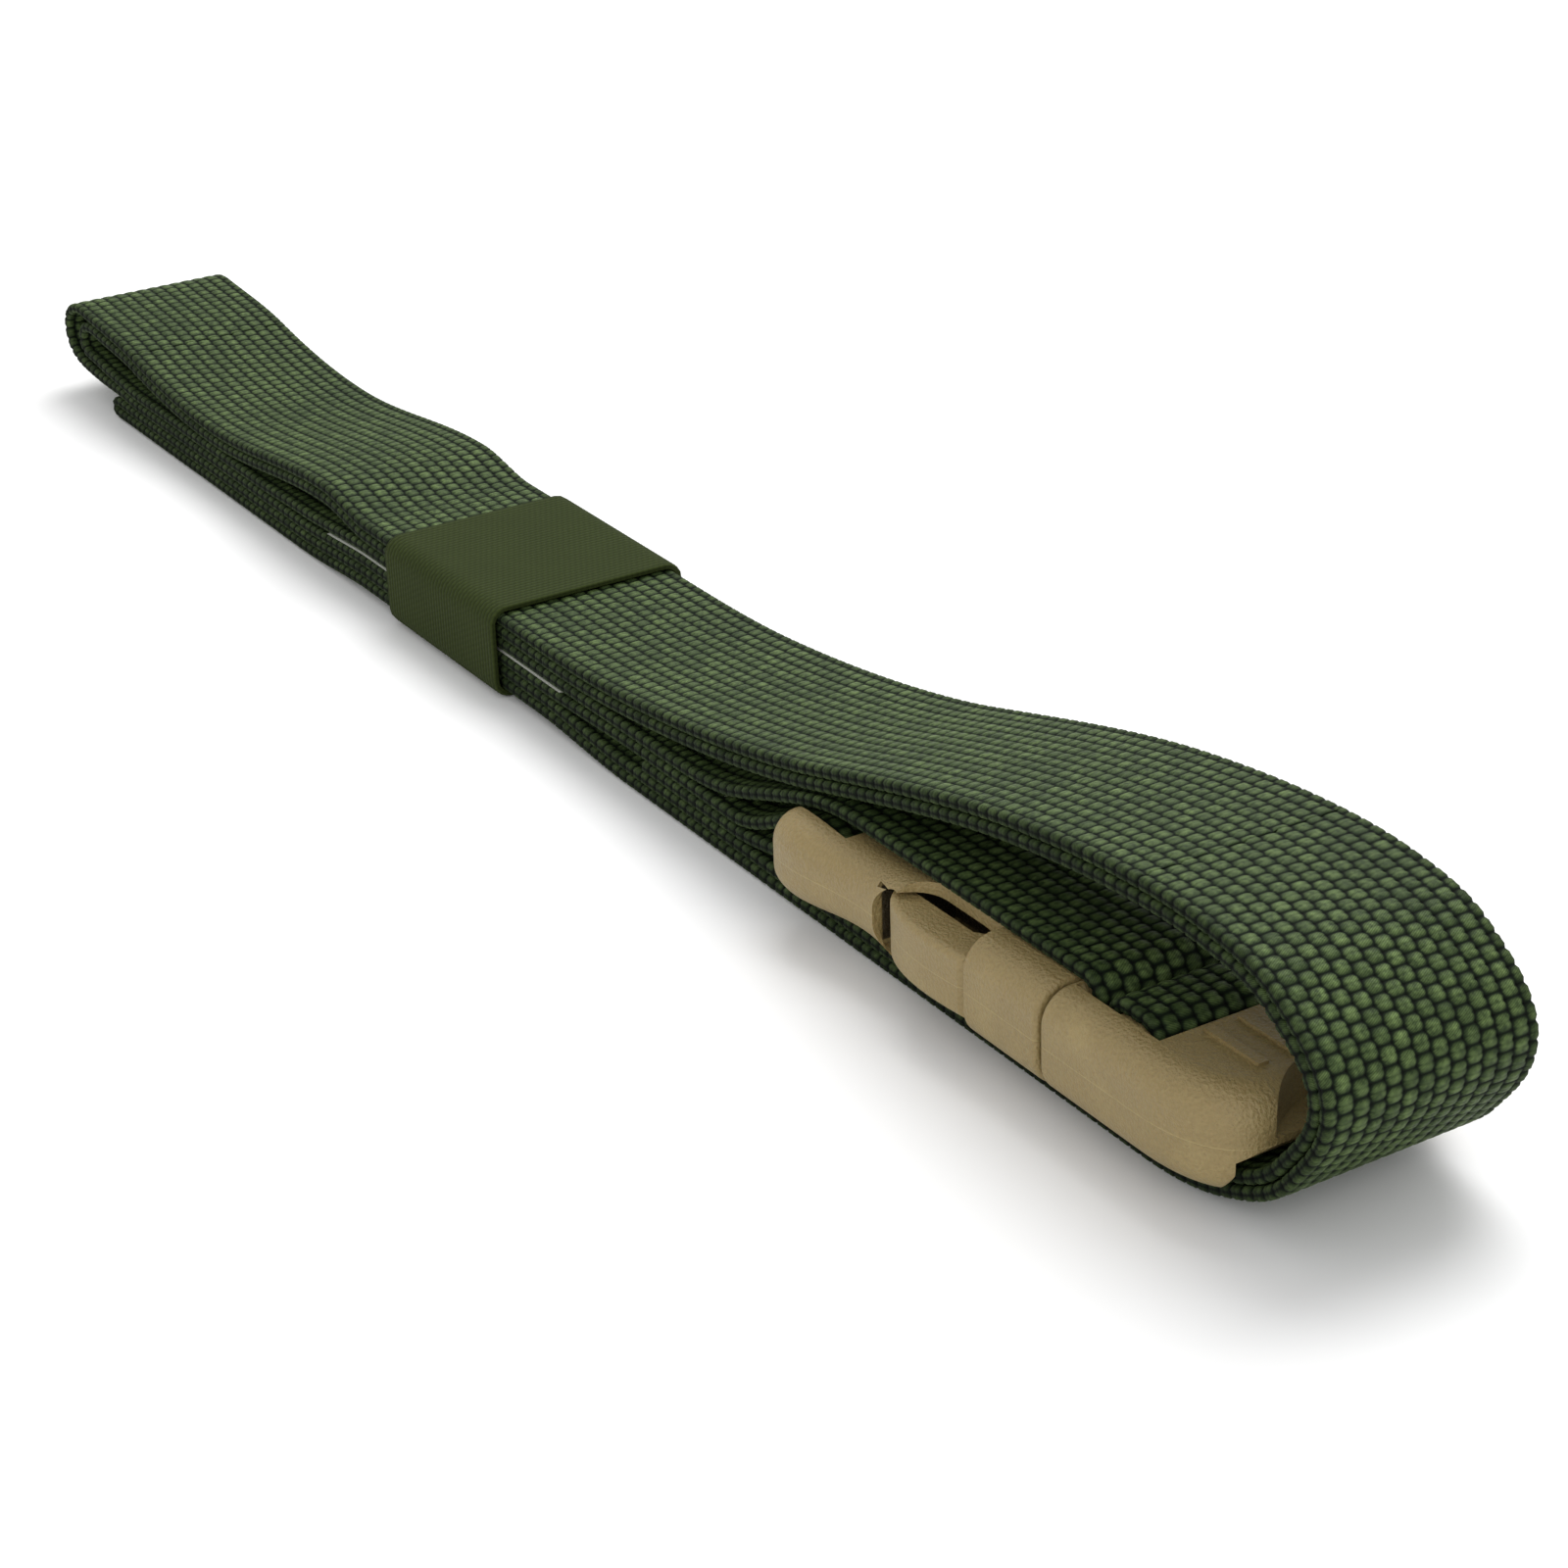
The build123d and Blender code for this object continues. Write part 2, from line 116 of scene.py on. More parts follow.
def weaveHeight(along, across):
    # blocks of two yarns laid like bricks, each pair parted by a shallow groove
    column = across.maths("FLOOR")
    side = abs((across % 1.0) * 2.0 - 1.0)
    end = abs(((along + 0.5 * (column % 2.0)) % 1.0) * 2.0 - 1.0)
    pair = (1.0 - end * 4.5).maths("MAXIMUM", 0.0)
    return 1.0 - 0.46 * side ** 3.0 - 0.54 * end ** 3.0 - 0.14 * pair


def ribHeight(along, across):
    return 1.0 - abs((across % 1.0) * 2.0 - 1.0) ** 2.0


# routes of the web, knots of (x, z, heading in degrees), millimetres

web = {
    "width": 25.4, "thickness": 1.6, "gap": 0.06,
    "cellAlong": 1.75, "cellsAcross": 14, "samples": 4, "samplesAlong": 4, "relief": 0.42,
}
folded = {
    "nearX": 152.0, "farX": -152.0, "socketStart": 64.0, "socketEnd": 114.2, "barX": 68.2,
    "buckleMid": 9.13, "buckleTop": 14.88, "keeperLeft": -44.0, "keeperRight": 3.0,
    "sewnStart": 29.0, "sewnEnd": 49.0, "lift": 1.02, "labelRoom": 0.37, "barRadius": 1.8,
    "slotIn": 117.3, "barStart": 120.9, "barEnd": 126.3, "barTop": 14.28, "barBottom": 8.88,
}
pitch = web["thickness"] + web["gap"]
halfThick = web["thickness"] / 2


def level(index):
    return halfThick + index * pitch


def beside(knots, distance):
    moved = []
    for x, z, heading in knots:
        turn = math.radians(heading)
        moved.append((x + distance * math.sin(turn), z - distance * math.cos(turn), heading))
    return moved


def backwards(knots):
    return [(x, z, heading + 180) for x, z, heading in reversed(knots)]


def strapRoutes(f):
    far, near, mid, top = f["farX"], f["nearX"], f["buckleMid"], f["buckleTop"]
    left, right, start = f["keeperLeft"], f["keeperRight"], f["socketStart"]
    lift, room = f["lift"], f["labelRoom"]
    skin = web["gap"] + halfThick
    wrap = f["barRadius"] + skin
    routes = {}
    routes["barLoop"] = [
        (f["sewnStart"], level(2), 0), (f["sewnEnd"], level(2), 0), (f["barX"], mid - wrap, 0),
        (f["barX"] + wrap, mid, 90), (f["barX"], mid + wrap, 180),
        (f["sewnEnd"], level(3), 180), (f["sewnStart"], level(3), 180)]
    routes["socketRun"] = [
        (f["sewnStart"], level(3), 180), (right, level(2) + lift, 180), (left, level(2) + lift, 180),
        (left - 22, level(2), 180), (far + 28, level(2), 180)]
    routes["farFoldOuter"] = [
        (far + 28, level(2), 180), (far + 19, level(2) + 0.5, 180), (far + 10, level(2) + 0.8, 176),
        (far + halfThick, level(2) + 5.4, 90), (far + 8, level(5) + 4.9, -5),
        (far + 28, level(5) + 2.9, -11)]
    routes["topRun"] = [
        (far + 28, level(5) + 2.9, -11), (far + 57, level(5), 0), (left - 13, level(5) + room + 2.7, 0),
        (left, level(5) + room + lift, 0), (right, level(5) + room + lift, 0),
        (start - 41, level(5) + 2.1, 5), (start - 10, top + 0.6, 11), (start + 2, top + 3.3, 15),
        (start + 22, top + 8.6, 14), (start + 39, top + 12.2, 9), (near - 28, top + 14.4, 2)]
    routes["nearFoldOuter"] = [
        (near - 28, top + 14.4, 2), (near - 18, top + 14.1, -7), (near - 8, top + 11.4, -33),
        (near - halfThick, mid + 8.4, -90), (near - 5.6, mid - 0.9, -127),
        (near - 15, level(0) + 1.8, -160), (near - 27, level(0), -180)]
    routes["bottomRun"] = [
        (near - 27, level(0), 180), (right + 22, level(0), 180), (right, level(0) + lift, 180),
        (left, level(0) + lift, 180), (left - 22, level(0), 180), (far + 28, level(0), 180)]
    routes["farFoldLower"] = [
        (far + 28, level(0), 180), (far + 19.5, level(0), 180),
        (far + 18, (level(0) + level(1)) / 2 + 0.1, 90), (far + 20, level(1) + 0.2, 0),
        (far + 28, level(1), 0)]
    routes["bottomInnerRun"] = backwards(beside(routes["bottomRun"], pitch))
    routes["nearFoldInner"] = backwards(beside(routes["nearFoldOuter"], pitch))
    routes["topInnerRun"] = backwards(beside(routes["topRun"], pitch))
    routes["farFoldInner"] = [
        routes["topInnerRun"][-1], (far + 14, level(4) + 4.3, 173), (far + 6.8, level(3) + 3.6, 270),
        (far + 13, level(3) + 1.3, 350), (far + 19, level(3) + 0.62, 356), (far + 28, level(3), 0)]
    over = top + skin
    routes["plugRun"] = [
        (far + 28, level(3), 0), (left - 36, level(3), 0), (left - 22, level(3) + room, 0),
        (left, level(3) + room + lift, 0), (right, level(3) + room + lift, 0),
        (f["sewnStart"] + 4, level(4) + 0.05, 0), (f["sewnEnd"] + 2, level(4) + 2.0, 18),
        (start + 3, top - 0.2, 14), (start + 14, over, 0), (f["socketEnd"] - 2, over, 0)]
    slotOuter, slotInner = f["slotIn"] + skin, f["barStart"] - skin
    slotOut, below, above = f["barEnd"] + skin, f["barBottom"] - skin, f["barTop"] + skin
    routes["adjusterWrap"] = [
        routes["plugRun"][-1], (slotOuter - 2.6, over, 0), (slotOuter, top - 1.8, -90),
        (slotOuter, f["barBottom"] + 1.6, -90), (slotOuter + 2.4, below, 0), (f["barEnd"] - 1.2, below, 0),
        (slotOut, f["barBottom"] + 1.2, 90), (slotOut, f["barTop"] - 1.2, 90),
        (f["barEnd"] - 1.2, above, 180), (f["barStart"] + 1.2, above, 180),
        (slotInner, f["barTop"] - 1.2, 270), (slotInner, f["barBottom"] + 1.4, 270)]
    return routes


def routeCurve(name, knots, upright=None):
    # upright turns a route in the X-Z plane into one in the Y-Z plane at that X
    data = bpy.data.curves.new(name, "CURVE")
    data.dimensions = "3D"
    data.resolution_u = 48
    spline = data.splines.new("BEZIER")
    spline.bezier_points.add(len(knots) - 1)
    reaches = []
    for (xa, za, start), (xb, zb, end) in zip(knots, knots[1:]):
        turn = math.radians((end - start + 180) % 360 - 180)
        reaches.append(math.hypot(xb - xa, zb - za) / (3 * math.cos(turn / 4) ** 2))

    def place(x, z):
        return Vector((x, 0, z)) * mm if upright is None else Vector((upright, x, z)) * mm

    for i, (x, z, heading) in enumerate(knots):
        a = math.radians(heading)
        back = reaches[i - 1] if i else reaches[0]
        ahead = reaches[i] if i < len(reaches) else reaches[-1]
        point = spline.bezier_points[i]
        point.handle_left_type = point.handle_right_type = "FREE"
        point.co = place(x, z)
        point.handle_left = place(x - back * math.cos(a), z - back * math.sin(a))
        point.handle_right = place(x + ahead * math.cos(a), z + ahead * math.sin(a))
    curve = bpy.data.objects.new(name, data)
    scene.collection.objects.link(curve)
    return curve, spline.calc_length()


# cloth laid along a route

def clothTree(name, heightOf):
    tree = bpy.data.node_groups.new(name, "GeometryNodeTree")
    board = Board(tree)
    wanted = [
        ("Geometry", "NodeSocketGeometry"), ("Route", "NodeSocketObject"), ("Side", "NodeSocketVector"),
        ("Half Width", "NodeSocketFloat"), ("Half Thickness", "NodeSocketFloat"),
        ("Cells Before", "NodeSocketFloat"), ("Cells Along", "NodeSocketFloat"),
        ("Cells Across", "NodeSocketFloat"),
        ("Relief", "NodeSocketFloat"), ("Rows", "NodeSocketInt"), ("Ring", "NodeSocketInt"),
        ("Material", "NodeSocketMaterial")]
    for label, kind in wanted:
        tree.interface.new_socket(label, in_out="INPUT", socket_type=kind)
    tree.interface.new_socket("Geometry", in_out="OUTPUT", socket_type="NodeSocketGeometry")
    given = board.add("NodeGroupInput").outputs
    number = {label: board.value(given[label]) for label, kind in wanted if kind == "NodeSocketFloat"}

    tube = board.add("GeometryNodeMeshCylinder", {"fill_type": "TRIANGLE_FAN"}, {
        "Vertices": given["Ring"], "Side Segments": given["Rows"], "Radius": 1.0, "Depth": 1.0})
    spot = board.add("ShaderNodeSeparateXYZ", inputs={0: board.add("GeometryNodeInputPosition").outputs[0]})
    x, y, z = (board.value(s) for s in spot.outputs)
    along = z + 0.5
    rim = (x * x + y * y).maths("SQRT").maths("MINIMUM", 1.0)
    angle = y.maths("ARCTAN2", x) / (2 * math.pi)
    flat = number["Half Width"] - number["Half Thickness"]
    reach = flat + number["Half Thickness"] * (math.pi / 2)
    travel = (1.0 - 4.0 * abs(angle)) * reach
    bend = (abs(travel) - flat).maths("MAXIMUM", 0.0) / number["Half Thickness"]
    toSide = travel.maths("SIGN") * bend.maths("SINE")
    toFace = angle.maths("SIGN") * bend.maths("COSINE")
    cellAlong = along * number["Cells Along"] + number["Cells Before"]
    cellAcross = (travel / reach + 1.0) * 0.5 * number["Cells Across"]
    height = heightOf(cellAlong, cellAcross)
    sunk = (height - 1.0) * number["Relief"]
    sideways = travel.maths("SIGN") * abs(travel).maths("MINIMUM", flat)
    sideways = (sideways + toSide * (number["Half Thickness"] + sunk)) * rim
    outwards = toFace * (number["Half Thickness"] + sunk) * rim

    route = board.add("GeometryNodeObjectInfo", inputs={"Object": given["Route"]})
    sample = board.add("GeometryNodeSampleCurve", {"mode": "FACTOR"}, {
        "Curves": route.outputs["Geometry"], "Factor": along.maths("MINIMUM", 1.0)})

    def vector(operation, first, second):
        node = board.add("ShaderNodeVectorMath", {"operation": operation})
        board.feed(node.inputs[0], first)
        board.feed(node.inputs["Scale"] if operation == "SCALE" else node.inputs[1], second)
        return node.outputs["Vector"]

    face = vector("CROSS_PRODUCT", sample.outputs["Tangent"], given["Side"])
    place = vector("ADD", sample.outputs["Position"], vector("SCALE", given["Side"], sideways))
    place = vector("ADD", place, vector("SCALE", face, outwards))
    laid = board.add("GeometryNodeSetPosition", inputs={"Position": place})
    pattern = board.add("ShaderNodeCombineXYZ", inputs={0: cellAlong, 1: cellAcross, 2: height})
    marked = board.add("GeometryNodeStoreNamedAttribute", {"data_type": "FLOAT_VECTOR", "domain": "POINT"})
    board.feed(marked.inputs["Name"], "cells")
    board.feed(marked.inputs["Geometry"], tube.outputs["Mesh"])
    board.feed([s for s in marked.inputs if s.name == "Value" and s.enabled][0], pattern.outputs[0])
    board.feed(laid.inputs["Geometry"], marked.outputs["Geometry"])
    corners = board.add("GeometryNodeInputMeshFaceNeighbors").outputs["Vertex Count"]
    sides = board.add("FunctionNodeCompare", {"data_type": "INT", "operation": "GREATER_THAN"})
    whole = [s for s in sides.inputs if s.type == "INT"]
    board.feed(whole[0], corners)
    board.feed(whole[1], 3)
    smooth = board.add("GeometryNodeSetShadeSmooth", inputs={
        "Geometry": laid.outputs["Geometry"], "Shade Smooth": sides.outputs[0]})
    real = board.add("GeometryNodeRealizeInstances", inputs={"Geometry": smooth.outputs[0]})
    painted = board.add("GeometryNodeSetMaterial", inputs={
        "Geometry": real.outputs[0], "Material": given["Material"]})
    board.add("NodeGroupOutput", inputs={"Geometry": painted.outputs[0]})
    return tree


def plainMesh(name, tree, values):
    holder = bpy.data.objects.new(name + "Holder", bpy.data.meshes.new(name + "Holder"))
    scene.collection.objects.link(holder)
    modifier = holder.modifiers.new("build", "NODES")
    modifier.node_group = tree
    for item in tree.interface.items_tree:
        if item.in_out == "INPUT" and item.name in values:
            modifier[item.identifier] = values[item.name]
    bpy.context.view_layer.update()
    depsgraph = bpy.context.evaluated_depsgraph_get()
    made = bpy.data.meshes.new_from_object(holder.evaluated_get(depsgraph), depsgraph=depsgraph)
    bpy.data.objects.remove(holder)
    made.name = name
    piece = bpy.data.objects.new(name, made)
    scene.collection.objects.link(piece)
    return piece


# materials

def newMaterial(name, colour, roughness):
    material = bpy.data.materials.new(name)
    material.use_nodes = True
    board = Board(material.node_tree)
    shader = material.node_tree.nodes["Principled BSDF"]
    shader.inputs["Base Color"].default_value = colour + (1.0,)
    shader.inputs["Roughness"].default_value = roughness
    return material, board, shader


def clamped(value):
    return value.maths("MAXIMUM", 0.0).maths("MINIMUM", 1.0)


def noise(board, where, scale, detail):
    node = board.add("ShaderNodeTexNoise", inputs={"Vector": where, "Scale": scale, "Detail": detail})
    return board.value(node.outputs[0])


def cellsOf(board):
    read = board.add("ShaderNodeAttribute", {"attribute_name": "cells"})
    parts = board.add("ShaderNodeSeparateXYZ", inputs={0: read.outputs["Vector"]})
    return [board.value(s) for s in parts.outputs]


def webbingMaterial():
    look = {
        "gap": (0.0007, 0.0018, 0.0006), "yarn": (0.0083, 0.0206, 0.0043), "paintedGlint": (0.165, 0.240, 0.078),
        "roughness": 0.62, "bump": 0.85, "strands": 4.0, "specular": 0.16, "depth": 0.00022,
    }
    material, board, shader = newMaterial("oliveWebbing", look["yarn"], look["roughness"])
    along, across, height = cellsOf(board)
    block = weaveHeight(along, across)
    column = across.maths("FLOOR")
    inCell = (along + 0.5 * (column % 2.0)) % 1.0
    lean = (across % 1.0) * 0.55
    fibre = ((inCell + lean) * look["strands"] * 4 * math.pi).maths("SINE") * 0.5 + 0.5
    where = board.add("ShaderNodeTexCoord").outputs["Object"]
    patchy = noise(board, where, 70.0, 3.0)
    fuzzy = noise(board, where, 1500.0, 3.0)
    toEdge = across.maths("MINIMUM", web["cellsAcross"] - across)      # cells from the selvedge
    # painted shade: the yarn and its glint are darkened towards both edges of the strap, where the edges of
    # the stacked layers lie in shade
    paintedEdgeShade = 0.42 + 0.58 * clamped((toEdge - 0.25) * 1.1)
    # painted shade: the grooves between the yarn blocks are mixed toward a near-black gap colour
    lit = clamped((block - 0.30) * 1.55) * paintedEdgeShade
    brick = (along + 0.5 * (column % 2.0)).maths("FLOOR")
    cell = board.add("ShaderNodeCombineXYZ", inputs={0: column, 1: brick})
    chance = board.add("ShaderNodeTexWhiteNoise", {"noise_dimensions": "2D"}, {"Vector": cell.outputs[0]})
    uneven = board.value(chance.outputs["Value"])
    shade = board.mixColour(lit, look["gap"] + (1.0,), look["yarn"] + (1.0,))
    # painted highlight: the tops of the yarn blocks get sparse specks of a pale green glint colour, a
    # painted glint
    glint = (block - 0.60).maths("MAXIMUM", 0.0) * (3.4 * fuzzy - 0.65).maths("MAXIMUM", 0.0)
    glint = glint * (0.55 + 0.9 * patchy) * (0.6 + 0.5 * fibre)
    glint = glint * (0.75 + 0.6 * uneven) * paintedEdgeShade
    withPaintedGlint = board.mixColour(glint.maths("MINIMUM", 1.0), shade, look["paintedGlint"] + (1.0,))
    board.feed(shader.inputs["Base Color"], withPaintedGlint)
    board.feed(shader.inputs["Roughness"], look["roughness"] + 0.3 * (1.0 - lit) - 0.12 * fibre * lit)
    shader.inputs["Specular IOR Level"].default_value = look["specular"]
    relief = block + 0.10 * fibre * lit + 0.22 * fuzzy
    bump = board.add("ShaderNodeBump", inputs={
        "Strength": look["bump"], "Distance": look["depth"], "Height": relief})
    board.feed(shader.inputs["Normal"], bump.outputs[0])
    return material


def elasticMaterial():
    look = {"groove": (0.007, 0.011, 0.002), "rib": (0.034, 0.047, 0.0098), "roughness": 0.8, "bump": 0.8}
    material, board, shader = newMaterial("ribbedElastic", look["rib"], look["roughness"])
    along, across, height = cellsOf(board)
    rib = ribHeight(along, across)
    pick = ((along + 0.5 * (across.maths("FLOOR") % 2.0)) * 2 * math.pi).maths("SINE") * 0.5 + 0.5
    where = board.add("ShaderNodeTexCoord").outputs["Object"]
    fuzz = noise(board, where, 3200.0, 2.0)
    patch = noise(board, where, 140.0, 3.0)
    # painted shade: the grooves between the ribs are mixed toward a dark groove colour, together with
    # random tone from the noise
    tone = rib * 0.5 + pick * 0.16 + fuzz * 0.28 + patch * 0.2
    toneWithGrooveShade = board.mixColour(tone, look["groove"] + (1.0,), look["rib"] + (1.0,))
    board.feed(shader.inputs["Base Color"], toneWithGrooveShade)
    shader.inputs["Specular IOR Level"].default_value = 0.12
    bump = board.add("ShaderNodeBump", inputs={
        "Strength": look["bump"], "Distance": 0.0001, "Height": rib * 0.6 + pick * 0.3 + fuzz * 0.35})
    board.feed(shader.inputs["Normal"], bump.outputs[0])
    return material


def labelMaterial():
    look = {"thread": (0.42, 0.43, 0.38), "gap": (0.22, 0.23, 0.20), "roughness": 0.6}
    material, board, shader = newMaterial("satinLabel", look["thread"], look["roughness"])
    along, across, height = cellsOf(board)
    weave = weaveHeight(along, across)
    # painted shade: the gaps of the weave are mixed toward a darker gap colour
    toneWithGrooveShade = board.mixColour(weave, look["gap"] + (1.0,), look["thread"] + (1.0,))
    board.feed(shader.inputs["Base Color"], toneWithGrooveShade)
    bump = board.add("ShaderNodeBump", inputs={"Strength": 0.4, "Distance": 0.00005, "Height": weave})
    board.feed(shader.inputs["Normal"], bump.outputs[0])
    return material


def threadMaterial():
    look = {"dark": (0.03, 0.045, 0.02), "light": (0.12, 0.15, 0.07), "roughness": 0.5}
    material, board, shader = newMaterial("bondedThread", look["light"], look["roughness"])
    where = board.add("ShaderNodeTexCoord").outputs["Object"]
    parts = board.add("ShaderNodeSeparateXYZ", inputs={0: where})
    x, y, z = (board.value(s) for s in parts.outputs)
    ply = ((x + y + z) * 14000.0).maths("SINE") * 0.5 + 0.5
    # painted shade: stripes across the thread darken the grooves between its plies
    toneWithGrooveShade = board.mixColour(ply, look["dark"] + (1.0,), look["light"] + (1.0,))
    board.feed(shader.inputs["Base Color"], toneWithGrooveShade)
    bump = board.add("ShaderNodeBump", inputs={"Strength": 0.5, "Distance": 0.00008, "Height": ply})
    board.feed(shader.inputs["Normal"], bump.outputs[0])
    return material


def mouldedMaterial():
    look = {
        "plain": (0.25, 0.184, 0.074), "pale": (0.38, 0.295, 0.13), "shut": (0.012, 0.009, 0.005),
        "roughness": 0.46, "grain": 2600.0, "bump": 0.9, "lineHalf": 0.09, "lineHeight": 9.13,
        # from, to, half width, half height and soft edge: the latch chamber, and the wall at its end
        "chambers": ((80.0, 101.8, 12.6, 3.7, 0.5), (83.3, 84.6, 14.6, 3.3, 0.2)),
    }
    material, board, shader = newMaterial("tanMoulding", look["plain"], look["roughness"])
    where = board.add("ShaderNodeTexCoord").outputs["Object"]
    parts = board.add("ShaderNodeSeparateXYZ", inputs={0: where})
    x, y, z = (board.value(s) for s in parts.outputs)
    grain = noise(board, where, look["grain"], 2.0)
    cloud = noise(board, where, 110.0, 4.0)
    # painted highlight: the parting line's raised ridge is painted paler
    line = 1.0 - (abs(z - look["lineHeight"] * mm) / (look["lineHalf"] * mm)).maths("MINIMUM", 1.0)
    rub = (cloud - 0.5).maths("MAXIMUM", 0.0) * 1.6
    tone = clamped(rub + line * 0.8 + (grain - 0.42) * 0.9)
    skin = board.mixColour(tone, look["plain"] + (1.0,), look["pale"] + (1.0,))
    # the latch chamber is painted dark, because little light reaches it
    dark = 0.0
    for start, end, halfWidth, halfHeight, edge in look["chambers"]:
        inside = 1.0
        offLine = abs(z - look["lineHeight"] * mm)
        for depth in (x - start * mm, end * mm - x, halfWidth * mm - abs(y), halfHeight * mm - offLine):
            inside = clamped(depth / (edge * mm)) * inside
        dark = inside.maths("MAXIMUM", dark)
    shown = board.mixColour(dark * 0.93, skin, look["shut"] + (1.0,))
    board.feed(shader.inputs["Base Color"], shown)
    board.feed(shader.inputs["Roughness"], look["roughness"] + (cloud - 0.5) * 0.25 + (grain - 0.5) * 0.2)
    shader.inputs["Specular IOR Level"].default_value = 0.42
    shader.inputs["Subsurface Weight"].default_value = 0.04
    shader.inputs["Subsurface Scale"].default_value = 0.001
    bump = board.add("ShaderNodeBump", inputs={
        "Strength": look["bump"], "Distance": 0.00026, "Height": grain + line * 0.15})
    board.feed(shader.inputs["Normal"], bump.outputs[0])
    return material


webbing = webbingMaterial()
elastic = elasticMaterial()
satin = labelMaterial()
thread = threadMaterial()
moulded = mouldedMaterial()
weaveTree = clothTree("layWebbing", weaveHeight)
ribTree = clothTree("layElastic", ribHeight)
print("materials and trees made")


def layCloth(name, tree, knots, size, material, upright=None, side=(0, 1, 0), before=0):
    curve, length = routeCurve(name + "Route", knots, upright)
    cells = max(2, round(length / (size["cellAlong"] * mm)))
    piece = plainMesh(name, tree, {
        "Route": curve, "Side": side, "Half Width": size["width"] * mm / 2,
        "Half Thickness": size["thickness"] * mm / 2, "Relief": size["relief"] * mm,
        "Cells Along": float(cells), "Cells Before": float(before),
        "Cells Across": float(size["cellsAcross"]),
        "Rows": int(cells * size["samplesAlong"]),
        "Ring": int(size["cellsAcross"] * size["samples"] * 2), "Material": material})
    bpy.data.objects.remove(curve)
    return piece, length, cells


# the strap, one piece for each stretch

# each stretch: its CAD node, and the body it rides on or the X range where bundle passes into plug
stretches = {
    "barLoop": ("strap_bar_loop", "bundle"), "socketRun": ("strap_socket_run", "bundle"),
    "farFoldOuter": ("strap_far_fold_outer", "bundle"), "topRun": ("strap_top_run", (0.003, 0.124)),
    "nearFoldOuter": ("strap_near_fold_outer", "plug"), "bottomRun": ("strap_bottom_run", (0.003, 0.125)),
    "farFoldLower": ("strap_far_fold_lower", "bundle"),
    "bottomInnerRun": ("strap_bottom_inner_run", (0.003, 0.125)),
    "nearFoldInner": ("strap_near_fold_inner", "plug"),
    "topInnerRun": ("strap_top_inner_run", (0.003, 0.124)),
    "farFoldInner": ("strap_far_fold_inner", "bundle"), "plugRun": ("strap_plug_run", (0.003, 0.1122)),
    "adjusterWrap": ("strap_adjuster_wrap", "plug"),
}
cellsBefore = 0
for stretch, knots in strapRoutes(folded).items():
    node, body = stretches[stretch]
    piece, length, cells = layCloth("web_" + stretch, weaveTree, knots, web, webbing, before=cellsBefore)
    cellsBefore += cells
    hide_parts(node)
    if isinstance(body, tuple):
        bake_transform(piece)
    else:
        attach(piece, body)
    print(stretch, "laid,", round(length * 1000, 1), "mm,", len(piece.data.polygons), "faces")


# elastic keeper: one lapped band

band = {
    "width": 30.0, "thickness": 0.86, "cellAlong": 0.8, "cellsAcross": 40, "samples": 3, "samplesAlong": 1,
    "relief": 0.07, "x": -20.5, "holeHalf": 12.94, "holeBottom": 0.9, "bend": 1.9,
}


def bandRoute(b):
    holeTop = level(5) + folded["labelRoom"] + folded["lift"] + halfThick + 0.12
    t = b["thickness"] / 2
    y, low, high, r = b["holeHalf"] + t, b["holeBottom"] - t, holeTop + t, b["bend"]
    out = y + b["thickness"] + 0.03
    return [
        (y, low + r + 1.0, 90), (y, high - r, 90), (y - r, high, 180), (r - y, high, 180),
        (-y, high - r, 270), (-y, low + r, 270), (r - y, low, 360), (y - r, low, 360),
        (out, low + r + 1.2, 90), (out, high - r - 1.0, 90)]


piece, length, cells = layCloth(
    "elasticKeeper", ribTree, bandRoute(band), band, elastic, upright=band["x"], side=(1, 0, 0))
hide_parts("keeper_band")
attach(piece, "keeper")
print("keeper laid,", round(length * 1000, 1), "mm")

# care label, on the socket's run

label = {
    "width": 24.6, "thickness": 0.2, "cellAlong": 0.5, "cellsAcross": 48, "samples": 1, "samplesAlong": 1,
    "relief": 0.0, "start": -57.0, "length": 66.0,
}
f = folded
labelHeight = halfThick + web["gap"] + label["thickness"] / 2
labelRaised = level(2) + f["lift"] + labelHeight
labelKnots = [
    (label["start"], level(2) + labelHeight + 0.36, 2), (f["keeperLeft"], labelRaised, 0),
    (f["keeperRight"], labelRaised, 0), (label["start"] + label["length"], labelRaised, 1)]
piece, length, cells = layCloth("careLabel", weaveTree, labelKnots, label, satin)
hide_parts("care_label")
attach(piece, "bundle")
print("label laid")


# stitches

